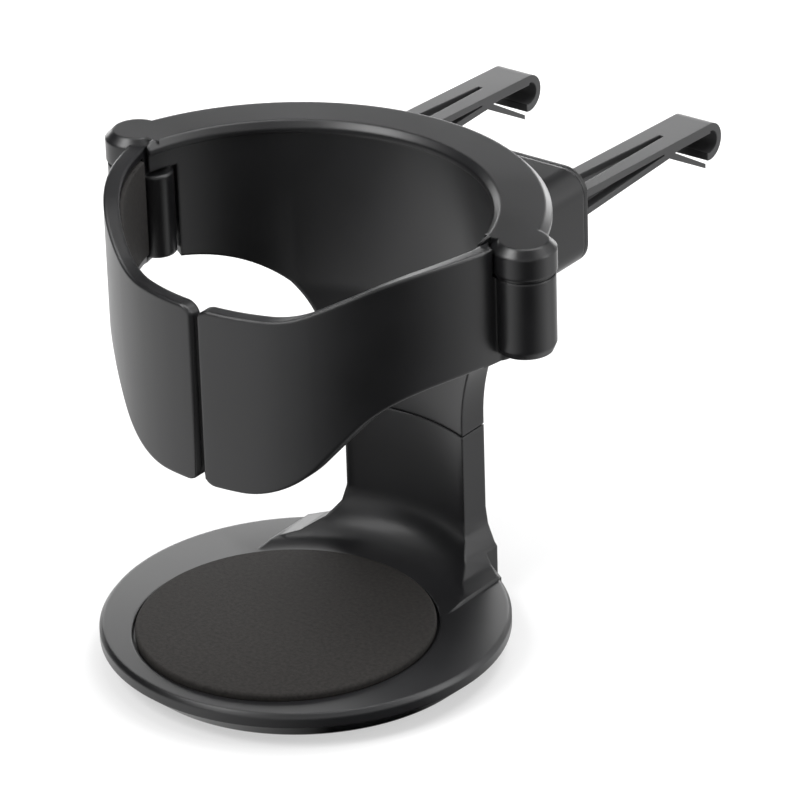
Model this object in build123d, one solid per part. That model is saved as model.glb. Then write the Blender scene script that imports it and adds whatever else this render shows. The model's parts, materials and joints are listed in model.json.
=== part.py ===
from build123d import *
import os
from math import cos, radians, sin, sqrt

os.makedirs("parts", exist_ok=True)

# Cup holder that hangs on two louvre hooks of a car air vent.
# Millimetres, Z up, +Y towards the vent, the origin in the middle of the round foot.

# Driving sizes: change these and the rest follows.
disc_radius = 43.9
disc_height = 7.8
foot_inset = 5.5
base_pad_radius = 32.0
pad_setback = 6.8
ring_setback = 2.8
ring_top = 103.4
cup_radius = 43.6
rim_width = 12.0
rim_thickness = 2.5
hinge_angle = 16.8
hinge_offset = 8.88
lip_angle = 77.0
cap_radius = 6.8
cap_height = 6.4
barrel_radius = 6.5
barrel_height = 18.0
roll_radius = 4.1
roll_setback = 2.1
arm_thickness = 3.4
closed_reach = 29.8
paddle_height = 39.8
paddle_drop = 10.1
wall_depth = 27.1
wall_angle = 68.0
stem_width = 31.6
stem_depth = 7.4
stem_step = 1.6
seam_height = 38.3
stem_flare = 10.0
flare_step = 0.6
housing_height = 22.2
housing_drop = 19.4
housing_back = 62.4
hook_spacing = 48.4
hook_width = 9.4
hook_depth = 6.2
hook_length = 49.6
hook_fall = 2.4
hook_curl = 4.25
pin_diameter = 3.2
wire_diameter = 0.9
coil_turns = 4

# Outline of an arm's paddle: where each edge leaves the level, where it is level again, and its roundings.
top_start = 20.4
top_end = 40.4
top_start_round = 20.0
top_end_round = 34.0
low_start = 19.1
low_end = 38.2
low_start_round = 19.8
low_end_round = 22.0
tip_round = 3.2

# Clearances and fits.
running_fit = 0.05
hinge_gap = 0.05
sweep_gap = 0.4
seat_gap = 0.12
tip_gap = 0.8
spring_gap = 0.7
slot_gap = 0.15
root_gap = 0.2
pad_gap = 0.6
head_gap = 0.3
washer_inset = 0.2

# Moulding sizes: walls, ribs, chamfers and roundings.
wall = 2.8
shell = 2.4
rib = 1.8
skin = 2.6
tray_floor = 3.0
foot_width = 3.4
hub_radius = 6.0
spoke_count = 3
rim_chamfer = 1.4
cap_chamfer = 1.7
cap_roof = 1.3
lip_chamfer = 1.3
lip_overhang = 0.4
disc_band = 3.0
tray_chamfer = 0.7
seam_groove = 0.4
pad_sink = 1.2
pad_proud = 1.2
edge_chamfer = 0.9
barrel_round = 2.6
barrel_steps = 2
round_steps = 4
border = 2.2
lining_depth = 0.8
lining_proud = 0.7
strip_offset = 2.4
strip_drop = 1.0
arm_step = 0.6
stub_shoulder = 4.0
stub_blend = 5.0
step_high = 7.0
step_low = 15.0
pocket_floor = 5.0
pocket_roof = 6.0
heel_side = 4.0
channel_floor = 3.0
tenon_depth = 14.0
tenon_side = 4.8
tenon_back = 2.2
catch_width = 8.8
catch_low_drop = 8.7
catch_high_drop = 4.5
catch_depth = 1.1
catch_nose = 0.6

# Sizes of the hook housing, the hooks and the small hardware.
housing_round = 5.55
cover_thickness = 2.2
root_thickness = 3.0
root_lip = 1.5
root_rise = 1.8
rest_width = 5.2
rest_height = 8.0
hook_plate = 2.2
curl_plate = 1.7
curl_return = 1.1
tongue_plate = 1.1
tongue_short = 1.9
tongue_drop = 1.4
beam_length = 33.7
beam_tip_depth = 3.0
throat_run = 5.0
groove_length = 37.6
groove_width = 4.1
groove_tip = 1.2
groove_depth = 1.5
side_depth = 2.2
side_top = 1.9
side_low = 1.4
side_tip_top = 1.35
side_tip_height = 0.4
side_end = 2.0
screw_spacing = 25.2
screw_radius = 1.3
screw_length = 7.5
screw_hole_depth = 9.0
screw_head_radius = 2.6
screw_head_height = 1.2
screw_clearance = 0.25
boss_radius = 3.0
washer_thickness = 0.7
pin_head_lip = 1.1
pin_head_height = 1.6
pin_recess = 0.4
pin_slot_width = 0.8
pin_slot_length = 3.4
pin_slot_depth = 0.7
coil_offset = 2.0
coil_gap = 0.11
coil_rise = 0.3
coil_chords = 10
wire_sides = 5

# Places that follow from the driving sizes.
# Cutting tools pass a face by cut, and joined forms overlap by bite.
cut = 1.0
bite = 0.5
ring_y = -ring_setback
pad_y = -pad_setback
wall_in = cup_radius + lip_overhang
wall_out = wall_in + wall
rim_out = cup_radius + rim_width
rim_bottom = ring_top - rim_thickness
hinge_reach = cup_radius + hinge_offset
hinge_x = hinge_reach * cos(radians(hinge_angle))
hinge_y = ring_y + hinge_reach * sin(radians(hinge_angle))
cap_bottom = ring_top - cap_height
barrel_top = cap_bottom - washer_thickness - 2 * hinge_gap
barrel_bottom = barrel_top - barrel_height
stem_in = cup_radius - stem_step
stem_out = stem_in + stem_depth
stem_half = stem_width / 2
front_y = ring_y - closed_reach
join_x = hinge_x - strip_offset
arc_y = (join_x**2 + hinge_y**2 - front_y**2) / (2 * (hinge_y - front_y))
arm_out = arc_y - front_y
arm_in = arm_out - arm_thickness
far = 3 * rim_out


def box(x0, x1, y0, y1, z0, z1):
    """Block between two corners."""
    size = Box(x1 - x0, y1 - y0, z1 - z0, align=(Align.MIN, Align.MIN, Align.MIN))
    return Pos(x0, y0, z0) * size


def post(x, y, radius, z0, z1):
    """Upright cylinder between two levels."""
    size = Cylinder(radius, z1 - z0, align=(Align.CENTER, Align.CENTER, Align.MIN))
    return Pos(x, y, z0) * size


def rod(x, z, radius, y0, y1):
    """Cylinder along Y between two depths."""
    turned = Rot(-90, 0, 0) * Cylinder(radius, y1 - y0, align=(Align.CENTER, Align.CENTER, Align.MIN))
    return Pos(x, y0, z) * turned


def tube(y, r_in, r_out, z0, z1):
    """Upright ring about an axis on the middle plane."""
    return post(0, y, r_out, z0, z1) - post(0, y, r_in, z0 - cut, z1 + cut)


def turned_about_ring(points):
    """Solid of revolution about the cup axis from radius and height pairs."""
    face = Plane.XZ * make_face(Polyline(*points, close=True))
    return Pos(0, ring_y, 0) * revolve(face, Axis.Z)


def along_y(face, y0, y1):
    """Outline drawn in X and Z, pushed from one depth to another."""
    return extrude(Plane.XZ.offset(-y1) * face, amount=y1 - y0)


def along_x(face, x0, x1):
    """Outline drawn in Y and Z, pushed from one side to another."""
    return extrude(Plane.YZ.offset(x0) * face, amount=x1 - x0)


def back_wedge(half_angle, z0, z1):
    """Wedge about the cup axis that opens towards the vent."""
    sx = far * sin(radians(half_angle))
    sy = far * cos(radians(half_angle))
    plan = Polyline((0, 0), (sx, sy), (sx, far), (-sx, far), (-sx, sy), close=True)
    return Pos(0, ring_y, z0) * extrude(make_face(plan), amount=z1 - z0)


def round_corner(face, x, z, radius):
    """Outline with the corner nearest to a point rounded."""
    corner = face.vertices().sort_by_distance((x, z, 0))[0]
    return fillet(corner, radius)


def mirror_x(solid):
    """Left-hand twin of a right-hand piece."""
    return mirror(solid, about=Plane.YZ)


# Ring body: flat rim, hinge caps, rear wall, stem stub and the housing for the hooks.
# On each side the lip of the rim runs on past the hinge, beside the end of the arm.
mask_top = ring_top + cut
beside_arms = back_wedge(lip_angle, 0, mask_top) & post(0, arc_y, arm_in - sweep_gap, 0, mask_top)
lip_reach = back_wedge(90 - hinge_angle, 0, mask_top) + beside_arms
rim = turned_about_ring(
    [
        (cup_radius, rim_bottom),
        (rim_out, rim_bottom),
        (rim_out, ring_top - rim_chamfer),
        (rim_out - rim_chamfer, ring_top),
        (cup_radius + lip_chamfer, ring_top),
        (cup_radius, ring_top - lip_chamfer),
    ]
)
tab = tube(ring_y, wall_in, wall_out, cap_bottom, rim_bottom + bite)
rim = (rim + tab) & lip_reach
cap = post(hinge_x, hinge_y, cap_radius, cap_bottom, ring_top - cap_chamfer)
cap_flat = cap_radius - cap_chamfer
cap_cone = Cone(cap_radius, cap_flat, cap_chamfer, align=(Align.CENTER, Align.CENTER, Align.MIN))
cap = cap + Pos(hinge_x, hinge_y, ring_top - cap_chamfer) * cap_cone
lip_x = wall_in * cos(radians(hinge_angle))
lip_y = ring_y + wall_in * sin(radians(hinge_angle))
web_turn = radians(212)
touch = (hinge_x + cap_flat * cos(web_turn), hinge_y + cap_flat * sin(web_turn))
web_plan = make_face(Polyline((lip_x, lip_y), touch, (hinge_x, hinge_y + pin_diameter), close=True))
web = Pos(0, 0, cap_bottom) * extrude(web_plan, amount=cap_height)
cap = cap + web
rim = rim + cap + mirror_x(cap)

# The rear wall hangs below the rim and its lower edge sweeps down into the stub of the stem.
wall_low = ring_top - wall_depth
wall_fall = wall_low - seam_height
span = wall_in * sin(radians(wall_angle)) - stem_half
wing_start = (stem_half, seam_height + 0.06 * wall_fall)
wing_mid = (stem_half + 0.33 * span, seam_height + 0.66 * wall_fall)
wing_end = (stem_half + 1.30 * span, seam_height + 1.04 * wall_fall)
steep = TangentArc(wing_start, wing_mid, tangent=(0, 1))
level = TangentArc(wing_mid, wing_end, tangent=steep % 1)
wall_top = rim_bottom + bite
half_outline = make_face(
    [
        Line((0, seam_height), (stem_half - seam_groove, seam_height)),
        Line((stem_half - seam_groove, seam_height), (stem_half, seam_height + seam_groove)),
        Line((stem_half, seam_height + seam_groove), wing_start),
        steep,
        level,
        Line(wing_end, (wing_end[0], wall_top)),
        Line((wing_end[0], wall_top), (0, wall_top)),
        Line((0, wall_top), (0, seam_height)),
    ]
)
half_mask = along_y(half_outline, 0, far)
outline_mask = half_mask + mirror_x(half_mask)
rear_wall = tube(ring_y, wall_in, wall_out, seam_height - cut, wall_top)
rear_wall = rear_wall & back_wedge(wall_angle, 0, ring_top)
housing_mid = ring_top - housing_drop
housing_width = hook_spacing + hook_width + 2 * (shell + root_gap)
housing_low = housing_mid - housing_height / 2
housing_high = housing_mid + housing_height / 2
stub = turned_about_ring(
    [
        (stem_in, seam_height + seam_groove),
        (stem_in + seam_groove, seam_height),
        (stem_out - seam_groove, seam_height),
        (stem_out, seam_height + seam_groove),
        (stem_out, housing_low - stub_shoulder),
        (wall_out, housing_low + bite),
        (wall_in + bite, housing_low + bite),
        (wall_in + bite, housing_low - stub_blend),
        (wall_in, housing_low - step_high),
        (stem_in, housing_low - step_low),
    ]
)
stub = stub & back_wedge(45, 0, ring_top)
rear = (rear_wall + stub) & outline_mask

# Pockets behind the stub leave two side walls and a middle rib.
pocket_in = stem_in + skin
pocket_low = seam_height + pocket_floor
pocket_high = housing_low - pocket_roof
pocket_side = stem_half - shell
for side in (-1, 1):
    inner = side * rib / 2
    outer = side * pocket_side
    pocket = tube(ring_y, pocket_in, stem_out + cut, pocket_low, pocket_high)
    pocket = pocket & box(min(inner, outer), max(inner, outer), 0, far, pocket_low, pocket_high)
    rear = rear - pocket

# Housing behind the wall, open at its back, with posts that carry the hook roots and the screws.
cover_front = housing_back - cover_thickness
outline = Pos(0, housing_mid) * RectangleRounded(housing_width, housing_height, housing_round)
cavity_outline = Pos(0, housing_mid) * RectangleRounded(
    housing_width - 2 * shell, housing_height - 2 * shell, housing_round - shell
)
housing = along_y(outline, 0, cover_front)
housing = housing - post(0, ring_y, wall_in + bite, housing_low - cut, housing_high + cut)
cavity = along_y(cavity_outline, 0, cover_front + cut)
cavity = cavity - post(0, ring_y, wall_out, housing_low - cut, housing_high + cut)
housing = housing - cavity
hook_x = hook_spacing / 2
root_front = cover_front - root_thickness - hinge_gap
root_width = hook_width - 3 * root_gap
root_half = hook_depth / 2 + root_lip
root_mid = housing_mid + root_rise
rest_low = root_mid - rest_height / 2
rest_high = root_mid + rest_height / 2
rest_half = rest_width / 2
screw_x = screw_spacing / 2
screw_z = housing_mid
inside = post(0, ring_y, wall_in + cut, housing_low - cut, housing_high + cut)
screw_hole_end = cover_front - screw_hole_depth
for side in (-1, 1):
    rest = box(side * hook_x - rest_half, side * hook_x + rest_half, 0, root_front, rest_low, rest_high)
    boss = rod(side * screw_x, screw_z, boss_radius, 0, cover_front)
    housing = housing + (rest - inside) + (boss - inside)
    housing = housing - rod(side * screw_x, screw_z, screw_radius, screw_hole_end, cover_front + cut)

# Tenon below the stub that slides into the stem of the base.
tenon_half = stem_half - tenon_side
tenon_in = stem_in + shell
tenon_out = stem_out - tenon_back
tenon = tube(ring_y, tenon_in, tenon_out, seam_height - tenon_depth, seam_height + cut)
tenon = tenon & box(-tenon_half, tenon_half, 0, far, 0, ring_top)
catch_half = catch_width / 2
catch_low = seam_height - catch_low_drop
catch_high = seam_height - catch_high_drop
catch = turned_about_ring(
    [
        (tenon_out - bite, catch_low),
        (tenon_out, catch_low),
        (tenon_out + catch_depth, catch_high - catch_nose),
        (tenon_out + catch_depth, catch_high),
        (tenon_out - bite, catch_high),
    ]
)
catch = catch & box(-catch_half, catch_half, 0, far, 0, ring_top)

ring_body = rim + rear + housing + tenon + catch

# Blind bores in the caps for the pressed-in hinge pins, with a pocket and a slot for the spring's upper leg.
pin_radius = pin_diameter / 2
pin_top = ring_top - cap_roof
wire_radius = wire_diameter / 2
spring_radius = pin_radius + coil_offset
chamber = spring_radius + wire_radius + spring_gap
pitch = wire_diameter + coil_gap
coil_height = coil_turns * pitch
coil_high = cap_bottom + wire_radius + coil_rise
coil_low = coil_high - coil_height
leg_reach = sqrt((barrel_radius - spring_gap) ** 2 - spring_radius**2) - 2 * slot_gap
leg_room = wire_radius + 2 * slot_gap
slot_half = wire_radius + slot_gap
pocket_top = coil_high + leg_room


def leg_slot(z0, z1):
    """Slot beside the pin for one straight leg of the right-hand spring, running outwards along +X."""
    y0 = spring_radius - slot_half
    y1 = spring_radius + slot_half
    return box(0, cap_radius, y0, y1, z0, z1) & post(0, 0, barrel_radius - 2 * slot_gap, z0, z1)


cap_slot = Pos(hinge_x, hinge_y, 0) * mirror_x(leg_slot(cap_bottom - cut, pocket_top))
cap_bore = post(hinge_x, hinge_y, pin_radius, cap_bottom - cut, pin_top)
cap_bore = cap_bore + post(hinge_x, hinge_y, chamber, cap_bottom - cut, pocket_top) + cap_slot
ring_body = ring_body - cap_bore - mirror_x(cap_bore)

# Base tray: round foot, dished rim, stem with a wide flare and a socket for the tenon.
foot_radius = disc_radius - foot_inset
floor_level = disc_height - pad_sink
disc_profile = make_face(
    Polyline(
        (0, 0),
        (foot_radius, 0),
        (disc_radius, disc_height - disc_band),
        (disc_radius, disc_height - edge_chamfer),
        (disc_radius - tray_chamfer, disc_height),
        (0, disc_height),
        close=True,
    )
)
disc = revolve(Plane.XZ * disc_profile, Axis.Z)
bell_edge = []
throat = []
for i in range(round_steps + 1):
    turn = radians(90 * i / round_steps)
    rise = stem_flare * (1 - cos(turn))
    out = stem_flare * (1 - sin(turn))
    bell_edge.append((stem_half + out, disc_height + flare_step + rise))
    throat.append((stem_in - out, disc_height + rise))
bell_plan = [(0, 0), (stem_half + stem_flare, 0)] + bell_edge + [(stem_half, seam_height), (0, seam_height)]
bell_mask = along_y(make_face(Polyline(*bell_plan, close=True)), 0, far)
bell_mask = bell_mask + mirror_x(bell_mask)
stem_back = [(stem_in, seam_height), (stem_out, seam_height), (stem_out, bite)]
stem_plan = [(throat[0][0], bite)] + throat + stem_back
stem_face = make_face(Polyline(*stem_plan, close=True))
stem = Pos(0, ring_y, 0) * revolve(Plane.XZ * stem_face, Axis.Z)
stem = stem & back_wedge(60, 0, ring_top)
stem = stem & bell_mask
heel_half = stem_half + heel_side
heel_limit = post(0, 0, disc_radius, 0, disc_height) + box(-heel_half, heel_half, 0, far, 0, seam_height)
heel_limit = heel_limit + post(0, 0, disc_radius - tray_chamfer, disc_height - bite, seam_height)
stem = stem & heel_limit
tray = disc + stem

# Recess for the rubber pad and a hollow underside with ribs.
pad_recess = base_pad_radius + pad_gap
tray = tray - post(0, pad_y, pad_recess, floor_level, disc_height + stem_flare)
under_radius = foot_radius - foot_width
under_ceiling = floor_level - tray_floor
hollow = post(0, 0, under_radius, -cut, under_ceiling)
hub = post(0, 0, hub_radius, -cut, under_ceiling)
spoke = box(-rib / 2, rib / 2, hub_radius - cut, under_radius + cut, -cut, under_ceiling)
hollow = hollow - hub
for i in range(spoke_count):
    hollow = hollow - Rot(0, 0, 360 * i / spoke_count) * spoke
tray = tray - hollow

# Socket for the tenon, the catch window and the open channel at the back of the stem.
socket_low = seam_height - tenon_depth - head_gap
socket_half = tenon_half + seat_gap
socket = tube(ring_y, tenon_in - seat_gap, tenon_out + seat_gap, socket_low, seam_height + cut)
socket = socket & box(-socket_half, socket_half, 0, far, 0, ring_top)
window = tube(ring_y, tenon_out - bite, stem_out + cut, catch_low - head_gap, catch_high + slot_gap)
window = window & box(-catch_half - head_gap, catch_half + head_gap, 0, far, 0, ring_top)
channel_top = seam_height - tenon_depth - skin
for side in (-1, 1):
    inner = side * rib / 2
    outer = side * pocket_side
    channel = tube(ring_y, pocket_in, stem_out + cut, channel_floor, channel_top)
    channel = channel & box(min(inner, outer), max(inner, outer), 0, far, channel_floor, channel_top)
    tray = tray - channel
tray = tray - socket - window

# Rubber pad in the tray.
pad_top = disc_height + pad_proud
base_pad = post(0, pad_y, base_pad_radius, floor_level, pad_top)

# Arms: a barrel on the hinge pin and a curved strip that widens into a paddle at the front.
root_top = ring_top - arm_step
root_bottom = barrel_bottom - strip_drop
tip_top = root_top - paddle_drop
tip_bottom = tip_top - paddle_height
tip_x = tip_gap / 2


def arm_outline(inset, start, end):
    """Paddle and strip seen from the front, drawn inwards by an inset and pushed back to a depth."""
    high_tip = tip_top - inset
    low_tip = tip_bottom + inset
    high_root = root_top - inset
    low_root = root_bottom + inset
    face = make_face(
        Polyline(
            (start, low_tip),
            (start, high_tip),
            (top_start, high_tip),
            (top_end, high_root),
            (far, high_root),
            (far, low_root),
            (low_end, low_root),
            (low_start, low_tip),
            close=True,
        )
    )
    face = round_corner(face, top_start, high_tip, top_start_round)
    face = round_corner(face, top_end, high_root, top_end_round)
    face = round_corner(face, low_end, low_root, low_end_round)
    face = round_corner(face, low_start, low_tip, low_start_round)
    face = round_corner(face, start, high_tip, tip_round)
    face = round_corner(face, start, low_tip, tip_round)
    return along_y(face, front_y - cut, end)


def arm_tube(r_in, r_out):
    """Ring that an arm's strip is cut from, its seam line at the back, away from the arms."""
    ring = tube(0, r_in, r_out, tip_bottom - cut, root_top + cut)
    return Pos(0, arc_y, 0) * Rot(0, 0, 90) * ring


strip = arm_tube(arm_in, arm_out) & arm_outline(0, tip_x, hinge_y)
tip_corner = make_face(
    Polyline(
        (tip_x - cut, front_y - cut),
        (tip_x + edge_chamfer, front_y - cut),
        (tip_x + edge_chamfer, front_y),
        (tip_x, front_y + edge_chamfer),
        (tip_x - cut, front_y + edge_chamfer),
        close=True,
    )
)
strip = strip - Pos(0, 0, tip_bottom - cut) * extrude(tip_corner, amount=paddle_height + 2 * cut)

# A half-round roll on the inner face closes the notch between the arm and the end of the rear wall.
roll_y = hinge_y - roll_setback
roll_x = sqrt(arm_in**2 - (roll_y - arc_y) ** 2)
roll = post(roll_x, roll_y, roll_radius, root_bottom, barrel_top)

# Pocket for the lining on the inner face.
lining_end = roll_y - roll_radius - head_gap
recess = arm_tube(arm_in - lining_proud - cut, arm_in + lining_depth)
recess = recess & arm_outline(border, tip_x + border, lining_end)
strip = strip - recess
lining = arm_tube(arm_in - lining_proud, arm_in + lining_depth)
lining = lining & arm_outline(border + seat_gap, tip_x + border + seat_gap, lining_end - seat_gap)

# Barrel, with room for the torsion spring from above and for the pin head from below.
barrel_profile = [(0, barrel_top), (0, barrel_bottom)]
for i in range(barrel_steps + 1):
    turn = radians(90 * i / barrel_steps)
    out = barrel_radius - barrel_round * (1 - sin(turn))
    barrel_profile.append((out, barrel_bottom + barrel_round * (1 - cos(turn))))
barrel_profile.append((barrel_radius, barrel_top))
barrel_face = Plane.XZ * make_face(Polyline(*barrel_profile, close=True))
barrel = Pos(hinge_x, hinge_y, 0) * revolve(barrel_face, Axis.Z)
arm = strip + barrel + roll
arm = arm - post(hinge_x, hinge_y, cap_radius + sweep_gap, barrel_top, ring_top + cut)
head_radius = pin_radius + pin_head_lip
head_bottom = barrel_bottom + pin_recess
head_top = head_bottom + pin_head_height
chamber_low = coil_low - leg_room
arm = arm - post(hinge_x, hinge_y, pin_radius + running_fit, barrel_bottom - cut, ring_top)
arm = arm - post(hinge_x, hinge_y, head_radius + head_gap, barrel_bottom - cut, head_top + hinge_gap)
arm = arm - post(hinge_x, hinge_y, chamber, chamber_low, barrel_top + cut)
arm = arm - Pos(hinge_x, hinge_y, 0) * leg_slot(chamber_low, barrel_top + cut)

# Hinge pin with a slotted head, and the thrust washer, of the right-hand hinge.
pin = post(hinge_x, hinge_y, pin_radius, head_bottom, pin_top - 2 * running_fit)
pin = pin + post(hinge_x, hinge_y, head_radius, head_bottom, head_top)
drive = box(
    hinge_x - pin_slot_width / 2, hinge_x + pin_slot_width / 2,
    hinge_y - pin_slot_length / 2, hinge_y + pin_slot_length / 2,
    head_bottom - cut, head_bottom + pin_slot_depth,
)
pin = pin - drive
washer_low = barrel_top + hinge_gap
washer_high = washer_low + washer_thickness
washer = post(hinge_x, hinge_y, barrel_radius - washer_inset, washer_low, washer_high)
washer = washer - post(hinge_x, hinge_y, chamber - 2 * running_fit, washer_low - cut, washer_high + cut)


def hinge_spring(side):
    """Torsion spring wound for one side, with a straight leg in the arm and another in the cap."""
    points = []
    for i in range(coil_turns * coil_chords + 1):
        turn = radians(90 + side * 360 * i / coil_chords)
        x = side * hinge_x + spring_radius * cos(turn)
        y = hinge_y + spring_radius * sin(turn)
        points.append(Vector(x, y, coil_low + pitch * i / coil_chords))
    low_end = points[0] + Vector(side * leg_reach, 0, 0)
    high_end = points[-1] - Vector(side * leg_reach, 0, 0)
    wire_path = Polyline(low_end, *points, high_end)
    section = Plane(low_end, z_dir=points[0] - low_end) * RegularPolygon(wire_radius, wire_sides)
    return sweep(section, path=wire_path, transition=Transition.RIGHT)


# Vent hooks: tapered beam, curled end and a spring tongue that closes the mouth of the curl.
top_root = root_mid + hook_depth / 2
top_tip = top_root - hook_fall
bend_y = housing_back + hook_length
bend_z = top_tip - hook_curl
beam_end = housing_back + beam_length
beam_low = top_root - hook_depth
slope = (top_tip - top_root) / (bend_y - cover_front)
tongue_y = bend_y - tongue_short
tongue_z = bend_z - hook_curl - tongue_drop
hook_left = hook_x - hook_width / 2
hook_right = hook_x + hook_width / 2


def hook_top(y):
    """Height of the sloping upper face of a hook at a depth."""
    return top_root + slope * (y - cover_front)


beam_tip = hook_top(beam_end) - beam_tip_depth
plate_start = beam_end + throat_run
beam_face = make_face(
    Polyline(
        (root_front + hinge_gap, top_root),
        (cover_front, top_root),
        (bend_y, top_tip),
        (bend_y, top_tip - hook_plate),
        (plate_start, hook_top(plate_start) - hook_plate),
        (beam_end + 2 * tongue_plate, beam_tip + bite),
        (tongue_y, tongue_z + tongue_plate),
        (tongue_y, tongue_z),
        (beam_end, beam_tip),
        (cover_front, beam_low),
        (root_front + hinge_gap, beam_low),
        close=True,
    )
)
hook = along_x(beam_face, hook_left, hook_right)
curl_face = Circle(hook_curl) - Circle(hook_curl - curl_plate)
curl_keep = Pos(-curl_return, 0) * Rectangle(2 * hook_curl, 3 * hook_curl, align=(Align.MIN, Align.CENTER))
curl_face = Pos(bend_y, bend_z) * (curl_face & curl_keep)
hook = hook + along_x(curl_face, hook_left, hook_right)

# A pointed groove along the top of each hook and a channel in both of its sides.
groove_start = cover_front + bite
groove_end = housing_back + groove_length
groove_face = make_face(
    Polyline(
        (hook_x - groove_width / 2, groove_start),
        (hook_x + groove_width / 2, groove_start),
        (hook_x + groove_tip / 2, groove_end),
        (hook_x - groove_tip / 2, groove_end),
        close=True,
    )
)
groove_tool = Pos(0, 0, top_tip - hook_plate) * extrude(groove_face, amount=hook_depth)
groove_floor = make_face(
    Polyline(
        (cover_front, hook_top(cover_front) - groove_depth),
        (bend_y, hook_top(bend_y) - groove_depth),
        (bend_y, top_root + hook_depth),
        (cover_front, top_root + hook_depth),
        close=True,
    )
)
hook = hook - (groove_tool & along_x(groove_floor, hook_left, hook_right))
channel_end = beam_end - side_end
side_face = make_face(
    Polyline(
        (groove_start, top_root - side_top),
        (channel_end, hook_top(channel_end) - side_tip_top),
        (channel_end, hook_top(channel_end) - side_tip_top - side_tip_height),
        (groove_start, beam_low + side_low),
        close=True,
    )
)
hook = hook - along_x(side_face, hook_left - cut, hook_left + side_depth)
hook = hook - along_x(side_face, hook_right - side_depth, hook_right + cut)
hook = hook + box(
    hook_x - root_width / 2, hook_x + root_width / 2,
    root_front + hinge_gap, cover_front, root_mid - root_half, root_mid + root_half,
)

# Cover plate that closes the housing and holds the hook roots, and its two screws.
cover = along_y(outline, cover_front, housing_back)
cover_back = cover.faces().sort_by(Axis.Y)[-1]
cover = chamfer(cover_back.outer_wire().edges(), edge_chamfer)
head_seat = housing_back - screw_head_height - 2 * running_fit
slot_low = beam_low - slot_gap
slot_high = top_root + slot_gap
slot_side = hook_width / 2 + slot_gap
before = cover_front - cut
behind = housing_back + cut
screws = []
for side in (-1, 1):
    mid = side * hook_x
    at = side * screw_x
    cover = cover - box(mid - slot_side, mid + slot_side, before, behind, slot_low, slot_high)
    cover = cover - rod(at, screw_z, screw_radius + screw_clearance, before, behind)
    cover = cover - rod(at, screw_z, screw_head_radius + screw_clearance, head_seat, behind)
    screw = rod(at, screw_z, screw_radius, cover_front - screw_length, head_seat + bite)
    screw = screw + rod(at, screw_z, screw_head_radius, head_seat, head_seat + screw_head_height)
    screws.append(screw.solid())

nodes = {
    "ring_body": ring_body,
    "base_tray": tray,
    "base_pad": base_pad,
    "housing_cover": cover,
    "cover_screws": Compound(children=screws),
    "right_hinge_spring": hinge_spring(1),
    "left_hinge_spring": hinge_spring(-1),
}
right = {
    "right_arm": arm,
    "right_arm_lining": lining,
    "right_hinge_pin": pin,
    "right_hinge_washer": washer,
    "right_vent_hook": hook,
}
for name, solid in right.items():
    nodes[name] = solid
    nodes[name.replace("right", "left")] = mirror_x(solid)

for name, solid in nodes.items():
    export_step(solid, os.path.join("parts", name + ".step"))
    print(name, round(solid.volume, 1), len(solid.solids()))
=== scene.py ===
# %% [markdown]
# # A cup holder for a car's air vent
# The imported model is the fixed frame of this scene: every piece sits where its drawing puts it, in metres.
# The first cell loads it, and a function there reads the box of any drawn piece.

# %% Load the frame
import json
from math import cos, radians, sin

import bmesh
import bpy
from mathutils import Matrix, Vector


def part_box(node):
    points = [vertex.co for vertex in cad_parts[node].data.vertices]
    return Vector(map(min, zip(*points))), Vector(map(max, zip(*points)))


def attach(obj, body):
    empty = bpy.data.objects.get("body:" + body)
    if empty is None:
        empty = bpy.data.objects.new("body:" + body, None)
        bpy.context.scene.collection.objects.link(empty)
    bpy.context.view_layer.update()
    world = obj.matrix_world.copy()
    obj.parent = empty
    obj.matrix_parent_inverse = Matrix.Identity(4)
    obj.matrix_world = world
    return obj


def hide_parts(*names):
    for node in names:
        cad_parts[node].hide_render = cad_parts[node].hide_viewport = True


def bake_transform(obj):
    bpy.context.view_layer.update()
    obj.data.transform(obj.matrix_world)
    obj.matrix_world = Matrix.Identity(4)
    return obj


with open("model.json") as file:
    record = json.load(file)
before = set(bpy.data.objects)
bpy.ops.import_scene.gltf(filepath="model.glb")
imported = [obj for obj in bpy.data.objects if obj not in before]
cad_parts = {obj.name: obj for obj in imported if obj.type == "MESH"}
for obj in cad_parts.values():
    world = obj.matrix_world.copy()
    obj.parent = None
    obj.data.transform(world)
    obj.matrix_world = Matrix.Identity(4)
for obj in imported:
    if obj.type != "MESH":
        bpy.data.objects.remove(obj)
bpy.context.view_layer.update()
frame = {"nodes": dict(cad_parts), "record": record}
scene = bpy.context.scene

# %% [markdown]
# ## The camera
# A product photographer stands well back with a long lens, so the upright lines stay almost parallel.
# The camera looks down on the holder from its front right corner. Its place comes from two angles, a distance and
# a point that it aims at, and a small roll turns the picture as the photograph is turned.

# %% Camera
MM = 0.001
azimuth = radians(37.39)
elevation = radians(26.74)
roll = radians(-1.78)
distance = 1130.71 * MM
aim = Vector((0, -6.76, 60)) * MM
aim_right = 25.6 * MM
aim_up = 0.22 * MM
lens_mm = 245.2
sensor_mm = 36.0

back = Vector((sin(azimuth) * cos(elevation), -cos(azimuth) * cos(elevation), sin(elevation)))
right = Vector((cos(azimuth), sin(azimuth), 0))
up = back.cross(right)
target = aim + right * aim_right + up * aim_up
rolled_right = right * cos(roll) + up * sin(roll)
rolled_up = up * cos(roll) - right * sin(roll)
turn = Matrix((rolled_right, rolled_up, back)).transposed()
bpy.ops.object.camera_add()
camera = bpy.context.object
camera.name = "camera"
camera.matrix_world = Matrix.Translation(target + back * distance) @ turn.to_4x4()
camera.data.lens = lens_mm
camera.data.sensor_fit = "HORIZONTAL"
camera.data.sensor_width = sensor_mm
camera.data.clip_end = 20
scene.camera = camera
print("camera at", [round(x, 3) for x in camera.location])

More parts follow.
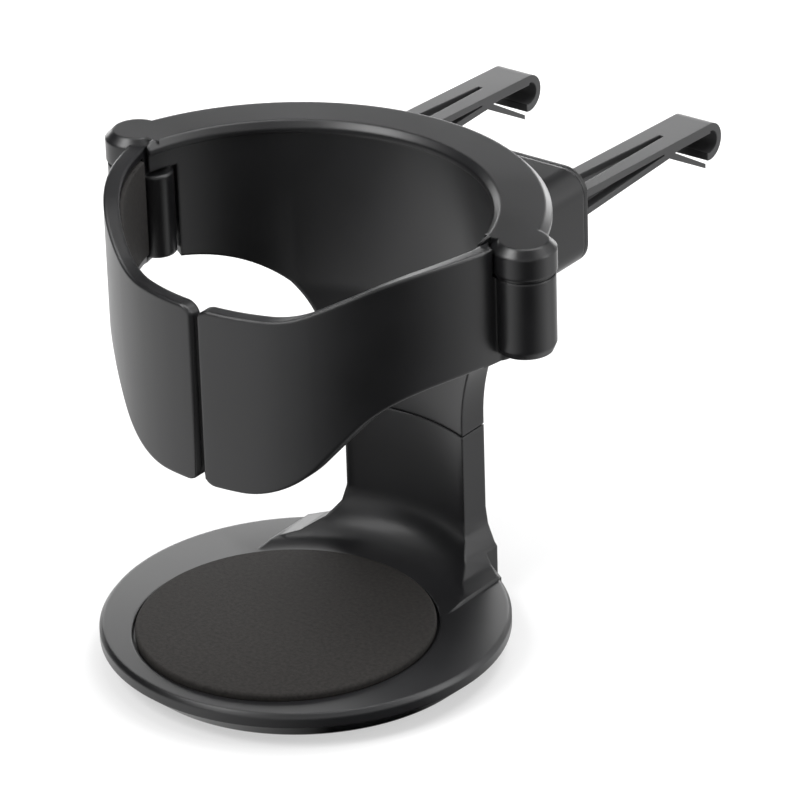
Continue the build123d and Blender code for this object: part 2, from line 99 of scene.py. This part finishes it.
# %% [markdown]
# ## Colours and nodes
# Colours are written as they look on a screen, in hex, and shaders want them linear, so one function turns them.
# A second function adds a shader node, sets its values and makes its links: every material below is built with it.

# %% Helpers for materials
def linear(code):
    """Linear colour with alpha from an sRGB hex code."""
    shares = [int(code[i:i + 2], 16) / 255 for i in (1, 3, 5)]
    return tuple(c / 12.92 if c <= 0.04045 else ((c + 0.055) / 1.055) ** 2.4 for c in shares) + (1.0,)


def add_node(tree, kind, sockets=None, **settings):
    """Adds a node; a socket given as (node, output) is linked, and any other socket is set."""
    made = tree.nodes.new(kind)
    for name, value in settings.items():
        setattr(made, name, value)
    for name, value in (sockets or {}).items():
        if isinstance(value, tuple) and isinstance(value[0], bpy.types.Node):
            tree.links.new(value[0].outputs[value[1]], made.inputs[name])
        else:
            made.inputs[name].default_value = value
    return made


def new_material(name):
    """An empty material and its node tree."""
    material = bpy.data.materials.new(name)
    material.use_nodes = True
    material.node_tree.nodes.clear()
    return material, material.node_tree


print("black as linear:", [round(c, 4) for c in linear("#1b1b1c")])

# %% [markdown]
# ## Moulded ABS
# The ring, the tray and the arms are black ABS, injection moulded in a tool with a fine spark-eroded skin.
# That skin spreads a reflection into a soft satin sheen without hiding it. The grain is finer than a pixel here, so
# it is drawn a little coarser and kept very shallow.

# %% Satin ABS
grain_mm = 0.35
flow_mm = 28.0
flow_low, flow_high = 0.3, 0.7


def satin_plastic(name, dark, light, rough_low, rough_high, grain_depth_mm, edge_mm):
    """Moulded plastic: slow change of tone and gloss from the flow of the melt, fine grain and soft edges."""
    material, tree = new_material(name)
    place = add_node(tree, "ShaderNodeTexCoord")
    flow = add_node(tree, "ShaderNodeTexNoise", {
        "Vector": (place, "Object"), "Scale": 1 / (flow_mm * MM), "Detail": 3.0, "Roughness": 0.5})
    tone = add_node(tree, "ShaderNodeValToRGB", {"Fac": (flow, "Fac")})
    tone.color_ramp.elements[0].position = flow_low
    tone.color_ramp.elements[0].color = linear(dark)
    tone.color_ramp.elements[1].position = flow_high
    tone.color_ramp.elements[1].color = linear(light)
    gloss = add_node(tree, "ShaderNodeMapRange", {
        "Value": (flow, "Fac"), "From Min": flow_low, "From Max": flow_high,
        "To Min": rough_low, "To Max": rough_high})
    grain = add_node(tree, "ShaderNodeTexNoise", {
        "Vector": (place, "Object"), "Scale": 1 / (grain_mm * MM), "Detail": 2.0})
    edges = add_node(tree, "ShaderNodeBevel", {"Radius": edge_mm * MM}, samples=6)
    skin = add_node(tree, "ShaderNodeBump", {
        "Height": (grain, "Fac"), "Strength": 0.6, "Distance": grain_depth_mm * MM, "Normal": (edges, "Normal")})
    shader = add_node(tree, "ShaderNodeBsdfPrincipled", {
        "Base Color": (tone, "Color"), "Roughness": (gloss, "Result"), "Normal": (skin, "Normal"), "IOR": 1.53})
    add_node(tree, "ShaderNodeOutputMaterial", {"Surface": (shader, "BSDF")})
    return material


body_plastic = satin_plastic("moulded_abs_satin_black", "#121213", "#18181a", 0.29, 0.36, 0.006, 0.8)
hook_plastic = satin_plastic("moulded_glass_filled_nylon", "#303031", "#3c3c3d", 0.44, 0.54, 0.012, 0.4)
washer_plastic = satin_plastic("moulded_acetal_black", "#121213", "#171718", 0.28, 0.34, 0.002, 0.1)
print("plastics:", body_plastic.name, hook_plastic.name, washer_plastic.name)

# %% [markdown]
# ## Rubber and steel
# The mat in the tray and the linings of the arms are die-cut rubber with a dull, slightly mottled face that mirrors
# almost nothing. Pins and screws are zinc plated steel, which shines softly at their heads, and the springs are bare
# drawn wire inside the hinges.

# %% Rubber and steel
fleck_mm = 0.9
fleck_low, fleck_high = 0.32, 0.68
pore_mm = 0.45
turning_mm = 0.25


def rubber(name, dark, light, pore_depth_mm):
    """Dull rubber: mottled in tone, with fine open pores."""
    material, tree = new_material(name)
    place = add_node(tree, "ShaderNodeTexCoord")
    fleck = add_node(tree, "ShaderNodeTexNoise", {
        "Vector": (place, "Object"), "Scale": 1 / (fleck_mm * MM), "Detail": 4.0, "Roughness": 0.65})
    tone = add_node(tree, "ShaderNodeValToRGB", {"Fac": (fleck, "Fac")})
    tone.color_ramp.elements[0].position = fleck_low
    tone.color_ramp.elements[0].color = linear(dark)
    tone.color_ramp.elements[1].position = fleck_high
    tone.color_ramp.elements[1].color = linear(light)
    pores = add_node(tree, "ShaderNodeTexNoise", {
        "Vector": (place, "Object"), "Scale": 1 / (pore_mm * MM), "Detail": 3.0, "Roughness": 0.7})
    skin = add_node(tree, "ShaderNodeBump", {
        "Height": (pores, "Fac"), "Strength": 0.8, "Distance": pore_depth_mm * MM})
    shader = add_node(tree, "ShaderNodeBsdfPrincipled", {
        "Base Color": (tone, "Color"), "Roughness": 0.82, "Normal": (skin, "Normal"), "IOR": 1.5,
        "Specular IOR Level": 0.25})
    add_node(tree, "ShaderNodeOutputMaterial", {"Surface": (shader, "BSDF")})
    return material


def plated_steel(name, tone_code, rough):
    """Plated steel with the faint lines of drawing or turning."""
    material, tree = new_material(name)
    place = add_node(tree, "ShaderNodeTexCoord")
    lines = add_node(tree, "ShaderNodeTexNoise", {
        "Vector": (place, "Object"), "Scale": 1 / (turning_mm * MM), "Detail": 2.0})
    gloss = add_node(tree, "ShaderNodeMapRange", {
        "Value": (lines, "Fac"), "To Min": rough - 0.06, "To Max": rough + 0.08})
    shader = add_node(tree, "ShaderNodeBsdfPrincipled", {
        "Base Color": linear(tone_code), "Metallic": 1.0, "Roughness": (gloss, "Result")})
    add_node(tree, "ShaderNodeOutputMaterial", {"Surface": (shader, "BSDF")})
    return material


mat_rubber = rubber("die_cut_rubber_mat", "#1e1c1b", "#2b2927", 0.05)
lining_rubber = rubber("die_cut_rubber_lining", "#282726", "#333130", 0.05)
pin_steel = plated_steel("zinc_plated_steel", "#b0b1b5", 0.32)
spring_steel = plated_steel("drawn_spring_steel", "#9a9b9e", 0.35)
print("rubber and steel:", mat_rubber.name, lining_rubber.name, pin_steel.name, spring_steel.name)

# %% [markdown]
# ## A finish on every drawn piece
# The record that comes with the frame says which material slot each piece belongs to. The pieces could be painted one
# by one by name, but the slot is what the mould maker would order by, so each slot gets one finish and every piece
# takes the finish of its slot.

# %% Finishes on the drawn nodes
finish = {
    "body_plastic": body_plastic,
    "hook_plastic": hook_plastic,
    "washer_plastic": washer_plastic,
    "base_rubber": mat_rubber,
    "lining_rubber": lining_rubber,
    "steel": pin_steel,
    "spring_steel": spring_steel,
}
slot_of = {}
for part in frame["record"]["subparts"]:
    slot_of[part["node"]] = part["material_slot"]
for name, node in frame["nodes"].items():
    node.data.materials.clear()
    node.data.materials.append(finish[slot_of[name]])
print("finished nodes:", len(slot_of))

# %% [markdown]
# ## Plastic pieces with flowing faces
# The drawing comes as loose triangles with a crease at every face. For the ring, the tray and the arms a copy is
# merged into one skin and shaded smoothly wherever two faces meet at a shallow angle, so that the throat of the stem
# and the rounded barrels flow as they do on a moulding.

# %% Merged copies
MERGE = 0.002 * MM
crease = radians(34)
corner_angle = radians(50)
coplanar = radians(0.5)
body_of = {}
for body, names in frame["record"]["behaviour"]["bodies"].items():
    for name in names:
        body_of[name] = body


def merged_copy(node_name, suffix):
    """A merged copy of a drawn piece, selected and active, that stands for it."""
    bpy.ops.object.select_all(action="DESELECT")
    piece = bpy.data.objects.new(node_name + suffix, frame["nodes"][node_name].data.copy())
    scene.collection.objects.link(piece)
    bpy.context.view_layer.objects.active = piece
    piece.select_set(True)
    bpy.ops.object.mode_set(mode="EDIT")
    bpy.ops.mesh.select_all(action="SELECT")
    bpy.ops.mesh.remove_doubles(threshold=MERGE)
    bpy.ops.mesh.customdata_custom_splitnormals_clear()
    bpy.ops.object.mode_set(mode="OBJECT")
    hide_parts(node_name)
    return piece


for name in ("ring_body", "base_tray", "right_arm", "left_arm"):
    piece = merged_copy(name, "_moulding")
    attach(piece, body_of[name])
    bpy.ops.object.shade_smooth_by_angle(angle=crease)
    print(piece.name, len(piece.data.polygons), "faces")

# %% [markdown]
# ## Rounded edges on the arms
# A moulded edge is never knife sharp: the tool leaves a small round, and it draws the bright line along a black arm.
# The coplanar triangles of each arm are dissolved, its outer corners away from the hinge are selected, and a bevel
# rounds them. Near the hinge they stay sharp, because there the arm turns in a close fit. Normals weighted by area
# keep the wide faces flat beside the narrow round.

# %% Arm edges
arm_edge = 0.5 * MM
hinge_zone = 9.0 * MM
for side in ("right", "left"):
    arm = scene.objects[side + "_arm_moulding"]
    pin_low, pin_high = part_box(side + "_hinge_pin")
    axis = (pin_low + pin_high) / 2
    bpy.ops.object.select_all(action="DESELECT")
    bpy.context.view_layer.objects.active = arm
    arm.select_set(True)
    bpy.ops.object.mode_set(mode="EDIT")
    bpy.ops.mesh.select_all(action="SELECT")
    bpy.ops.mesh.dissolve_limited(angle_limit=coplanar)
    bpy.ops.mesh.select_mode(type="EDGE")
    bpy.ops.mesh.select_all(action="DESELECT")
    skin = bmesh.from_edit_mesh(arm.data)
    for edge in skin.edges:
        away = min((corner.co - axis).xy.length for corner in edge.verts) > hinge_zone
        if away and edge.is_convex and edge.calc_face_angle() > corner_angle:
            edge.select_set(True)
    bmesh.update_edit_mesh(arm.data)
    chosen = arm.data.total_edge_sel
    bpy.ops.mesh.bevel(
        offset=arm_edge, segments=3, profile=0.5, affect="EDGES", clamp_overlap=False, loop_slide=False)
    bpy.ops.object.mode_set(mode="OBJECT")
    bpy.ops.object.shade_smooth_by_angle(angle=crease)
    weighted = arm.modifiers.new("weighted", "WEIGHTED_NORMAL")
    weighted.keep_sharp = True
    bpy.ops.object.modifier_apply(modifier=weighted.name)
    print(arm.name, chosen, "edges rounded,", len(arm.data.polygons), "faces")

# %% [markdown]
# ## Rubber mat
# The mat is cut from sheet with a punch, so its wall is upright and its upper edge is drawn in a little by the cut.
# It starts as a plain disc, its two rims are selected as the only sharp edges, and one bevel rounds them.

# %% Mat
mat_low, mat_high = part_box("base_pad")
mat_radius = (mat_high.x - mat_low.x) / 2
mat_middle = (mat_low + mat_high) / 2
mat_edge = 0.7 * MM
mat_sides = 160
bpy.ops.object.select_all(action="DESELECT")
bpy.ops.mesh.primitive_cylinder_add(
    vertices=mat_sides, radius=mat_radius, depth=mat_high.z - mat_low.z, location=mat_middle,
    end_fill_type="NGON")
mat = bpy.context.object
mat.name = "rubber_mat"
bpy.ops.object.transform_apply(location=True, rotation=True, scale=True)
bpy.ops.object.mode_set(mode="EDIT")
bpy.ops.mesh.select_mode(type="EDGE")
bpy.ops.mesh.select_all(action="DESELECT")
bpy.ops.mesh.edges_select_sharp(sharpness=corner_angle)
bpy.ops.mesh.bevel(offset=mat_edge, segments=4, profile=0.5, affect="EDGES")
bpy.ops.object.mode_set(mode="OBJECT")
bpy.ops.object.shade_smooth_by_angle(angle=crease)
mat.data.materials.append(mat_rubber)
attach(mat, "holder")
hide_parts("base_pad")
print("mat:", len(mat.data.polygons), "faces, radius", round(mat_radius, 4))

# %% [markdown]
# ## Rubber linings
# Each arm carries a strip of rubber that grips the cup. The strip is glued flat to the curved inner face, and its cut
# edges are soft. A merged copy keeps that curve, its coplanar triangles are dissolved so that only real edges are
# left, and those edges are rounded with a bevel.

# %% Linings
lining_edge = 0.45 * MM
for side in ("right", "left"):
    lining = merged_copy(side + "_arm_lining", "_strip")
    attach(lining, side + "_arm_unit")
    bpy.ops.object.mode_set(mode="EDIT")
    bpy.ops.mesh.select_all(action="SELECT")
    bpy.ops.mesh.dissolve_limited(angle_limit=coplanar)
    bpy.ops.mesh.select_mode(type="EDGE")
    bpy.ops.mesh.select_all(action="DESELECT")
    bpy.ops.mesh.edges_select_sharp(sharpness=corner_angle)
    bpy.ops.mesh.bevel(offset=lining_edge, segments=3, profile=0.5, affect="EDGES")
    bpy.ops.object.mode_set(mode="OBJECT")
    bpy.ops.object.shade_smooth_by_angle(angle=crease)
    print(lining.name, len(lining.data.polygons), "faces")

# %% [markdown]
# ## Hinge springs
# A torsion spring sits round each hinge pin. Its lower leg lies in the arm and its upper leg in the cap, so the coil
# winds up as the arm opens. A merged copy of each spring stands for it, shaded smoothly, and the heights of its two
# legs on the pin's axis are worked out.

# %% Springs
wire = 0.9 * MM
wire_crease = radians(62)
for side in ("right", "left"):
    spring = merged_copy(side + "_hinge_spring", "_wound")
    bpy.ops.object.shade_smooth_by_angle(angle=wire_crease)
    spring_low, spring_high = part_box(side + "_hinge_spring")
    axis = (spring_low + spring_high) / 2
    leg_below = (axis.x, axis.y, spring_low.z + wire)
    leg_above = (axis.x, axis.y, spring_high.z - wire)
    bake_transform(spring)
    twisted = (leg_above[2] - leg_below[2]) / MM
    print(spring.name, len(spring.data.polygons), "faces, twisted over", round(twisted, 2), "mm")

# %% [markdown]
# ## Screws in the cover
# Two plated screws hold the cover of the housing. Their heads have a cross recess for the driver, which is too fine
# for the drawing. Two crossed bars cut it out of a merged copy, as the header punch presses it into the real head.
# The walls of the recess get a darker steel, which is painted shade for the shade that falls in such a corner.

# %% Screws
screw_low, screw_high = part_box("cover_screws")
head_radius = (screw_high.z - screw_low.z) / 2
head_middle = (screw_high.z + screw_low.z) / 2
recess_long = 1.35 * head_radius
recess_wide = 0.36 * head_radius
recess_deep = 0.9 * MM
left_screw = screw_low.x + head_radius
right_screw = screw_high.x - head_radius
# A darker steel for the walls and floor of the recess: painted shade, not a colour of the screw.
painted_shade_recess_steel = plated_steel("unplated_recess_steel", "#17171a", 0.55)
screws = merged_copy("cover_screws", "_driven")
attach(screws, "holder")
for across in (left_screw, right_screw):
    for wide, tall in ((recess_long, recess_wide), (recess_wide, recess_long)):
        bpy.ops.object.select_all(action="DESELECT")
        bpy.ops.mesh.primitive_cube_add(size=1.0, location=(across, screw_high.y, head_middle))
        bar = bpy.context.object
        bar.scale = (wide, 2 * recess_deep, tall)
        bpy.ops.object.transform_apply(location=True, rotation=True, scale=True)
        punch = screws.modifiers.new("recess", "BOOLEAN")
        punch.object = bar
        bpy.context.view_layer.objects.active = screws
        bpy.ops.object.modifier_apply(modifier=punch.name)
        bpy.data.objects.remove(bar)
screws.data.materials.append(painted_shade_recess_steel)
shallowest = 0.05 * recess_deep
deepest = 1.1 * recess_deep
reach = 0.55 * recess_long
# Faces on the walls and floor of the recess take the second slot, the darker steel that is painted shade.
for face in screws.data.polygons:
    sideways = min(abs(face.center.x - left_screw), abs(face.center.x - right_screw))
    near_axis = max(sideways, abs(face.center.z - head_middle)) < reach
    sunk = shallowest < screw_high.y - face.center.y < deepest
    face.material_index = 1 if sunk and near_axis else 0
bpy.ops.object.select_all(action="DESELECT")
screws.select_set(True)
bpy.ops.object.shade_smooth_by_angle(angle=crease)
print("screws:", len(screws.data.polygons), "faces, head", round(2 * head_radius / MM, 2), "mm")

# %% [markdown]
# ## Floor and sky
# The holder stands on a matt white floor in a white room. A light path switch shows the camera and every reflection
# the plain white of the room, while the light that falls on the holder stays at a modest level. The floor is only
# partly lifted in this way, so that it keeps the soft shadow under the tray.

# %% Floor and sky
floor_size = 6.0
floor_drop = 0.05 * MM
floor_lift = 0.5
room_light = 0.45


def seen_or_mirrored(tree):
    """One for a ray from the camera, a reflection or a transmission, and zero for light that only falls on things."""
    path = add_node(tree, "ShaderNodeLightPath")
    shine = add_node(tree, "ShaderNodeMath", {
        0: (path, "Is Glossy Ray"), 1: (path, "Is Transmission Ray")}, operation="MAXIMUM")
    return add_node(tree, "ShaderNodeMath", {0: (path, "Is Camera Ray"), 1: (shine, "Value")}, operation="MAXIMUM")


bpy.ops.object.select_all(action="DESELECT")
bpy.ops.mesh.primitive_plane_add(size=floor_size, location=(0, 0, -floor_drop))
floor = bpy.context.object
floor.name = "studio_floor"
floor_paint, tree = new_material("matt_white_floor")
paper = add_node(tree, "ShaderNodeBsdfDiffuse", {"Color": linear("#f4f4f4")})
glow = add_node(tree, "ShaderNodeEmission", {"Color": linear("#ffffff"), "Strength": 1.0})
amount = add_node(tree, "ShaderNodeMath", {
    0: (seen_or_mirrored(tree), "Value"), 1: floor_lift}, operation="MULTIPLY")
mixed = add_node(tree, "ShaderNodeMixShader", {0: (amount, "Value"), 1: (paper, "BSDF"), 2: (glow, "Emission")})
add_node(tree, "ShaderNodeOutputMaterial", {"Surface": (mixed, "Shader")})
floor.data.materials.append(floor_paint)

world = bpy.data.worlds.new("white_room")
world.use_nodes = True
scene.world = world
tree = world.node_tree
tree.nodes.clear()
level = add_node(tree, "ShaderNodeMapRange", {
    "Value": (seen_or_mirrored(tree), "Value"), "To Min": room_light, "To Max": 1.0})
sky = add_node(tree, "ShaderNodeBackground", {"Color": linear("#ffffff"), "Strength": (level, "Result")})
add_node(tree, "ShaderNodeOutputWorld", {"Surface": (sky, "Background")})
print("floor:", floor.name, "world:", world.name)

# %% [markdown]
# ## A dark card on the floor
# Upright satin faces mirror the floor in front of them, so in a white room they turn grey. A photographer lays black
# felt on the table and lets it fade out to the sides: the middle of each arm goes black and its ends stay bright.
# The felt is seen in reflections only. A radial gradient round the holder sets where it lies.

# %% Card
card_height = 0.4 * MM
card_turn = -32.0
card_ramp = [
    (-58.0, "#000000"), (-14.0, "#ffffff"), (14.0, "#ffffff"), (58.0, "#000000"),
    (66.0, "#000000"), (84.0, "#b4b4b4"), (104.0, "#b4b4b4"), (122.0, "#000000"),
]


def reflected_only(screen):
    """Leaves a studio screen to be seen in reflections alone."""
    screen.visible_camera = False
    screen.visible_diffuse = False
    screen.visible_shadow = False
    screen.visible_transmission = False


bpy.ops.object.select_all(action="DESELECT")
bpy.ops.mesh.primitive_plane_add(size=floor_size, location=(0, 0, card_height))
card = bpy.context.object
card.name = "dark_card"
card_paint, tree = new_material("black_felt_card")
place = add_node(tree, "ShaderNodeTexCoord")
turned = add_node(tree, "ShaderNodeMapping", {
    "Vector": (place, "Object"), "Rotation": (0.0, 0.0, radians(-card_turn))})
sweep = add_node(tree, "ShaderNodeTexGradient", {"Vector": (turned, "Vector")}, gradient_type="RADIAL")
cover = add_node(tree, "ShaderNodeValToRGB", {"Fac": (sweep, "Fac")})
stops = cover.color_ramp.elements
stops.remove(stops[1])
stops[0].color = linear(card_ramp[0][1])
for bearing, tone_code in card_ramp:
    stops.new(0.5 + bearing / 360).color = linear(tone_code)
clear = add_node(tree, "ShaderNodeBsdfTransparent")
felt = add_node(tree, "ShaderNodeBsdfDiffuse", {"Color": linear("#101010")})
mixed = add_node(tree, "ShaderNodeMixShader", {0: (cover, "Color"), 1: (clear, "BSDF"), 2: (felt, "BSDF")})
add_node(tree, "ShaderNodeOutputMaterial", {"Surface": (mixed, "Shader")})
card.data.materials.append(card_paint)
reflected_only(card)
print("card stops:", len(stops))

# %% [markdown]
# ## Dark flags
# Faces that look upwards mirror the walls and the ceiling. Black screens, which photographers call flags, stand to
# the left, behind the rim and high up on the camera's side. They take the white off the rim, the throat of the stem
# and the rounded upper edges, and what stays bright there is a narrow line that draws the edge.

# %% Flags
middle = Vector((0, 0.02, 0.06))


def dark_flag(name, place, aim_at, width, height, tone_code):
    """A felt screen at a place, turned towards a point."""
    bpy.ops.object.select_all(action="DESELECT")
    bpy.ops.mesh.primitive_plane_add(size=1.0, location=place)
    flag = bpy.context.object
    flag.name = name
    flag.scale = (width, height, 1)
    flag.rotation_euler = (Vector(aim_at) - Vector(place)).to_track_quat("Z", "Y").to_euler()
    paint, tree = new_material("felt_of_" + name)
    felt = add_node(tree, "ShaderNodeBsdfDiffuse", {"Color": linear(tone_code)})
    add_node(tree, "ShaderNodeOutputMaterial", {"Surface": (felt, "BSDF")})
    flag.data.materials.append(paint)
    reflected_only(flag)
    return flag


left_flag = dark_flag("left_flag", (-0.85, -0.31, 0.42), (0, 0, 0.42), 2.1, 0.85, "#2a2a2a")
back_flag = dark_flag("back_flag", (-0.18, 0.24, 0.425), (0, 0, 0.425), 0.9, 0.5, "#242424")
top_flag = dark_flag("top_flag", (0.32, -0.27, 0.86), middle, 0.9, 0.5, "#2a2a2a")
print("flags:", left_flag.name, back_flag.name, top_flag.name)

# %% [markdown]
# ## Soft boxes
# Wide lamps give soft shadows. One hangs above, one stands high at the front left and one at the right. A small low
# box behind the tray skims over the flat ring round the mat and brightens its left side.

# %% Lamps
def soft_box(name, place, aim_at, width, height, power):
    """A rectangular studio lamp at a place, turned towards a point."""
    bpy.ops.object.light_add(type="AREA", location=place)
    lamp = bpy.context.object
    lamp.name = name
    lamp.data.shape = "RECTANGLE"
    lamp.data.size = width
    lamp.data.size_y = height
    lamp.data.energy = power
    facing = Vector(aim_at) - Vector(place)
    lamp.rotation_euler = facing.to_track_quat("-Z", "Y").to_euler()
    lamp.visible_camera = False
    return lamp


soft_box("top_box", (0.1, 0.5, 1.3), middle, 1.0, 1.0, 14)
soft_box("front_box", (-0.4, -0.7, 1.1), middle, 0.6, 0.6, 9)
soft_box("right_box", (1.2, 0.6, 0.6), middle, 0.6, 1.0, 6)
soft_box("low_box", (-0.21, 0.28, 0.11), (-0.03, 0.0, 0.01), 0.5, 0.14, 0.62)

# %% [markdown]
# ## View
# The Standard view shows each colour as it is written.

# %% View
scene.view_settings.view_transform = "Standard"
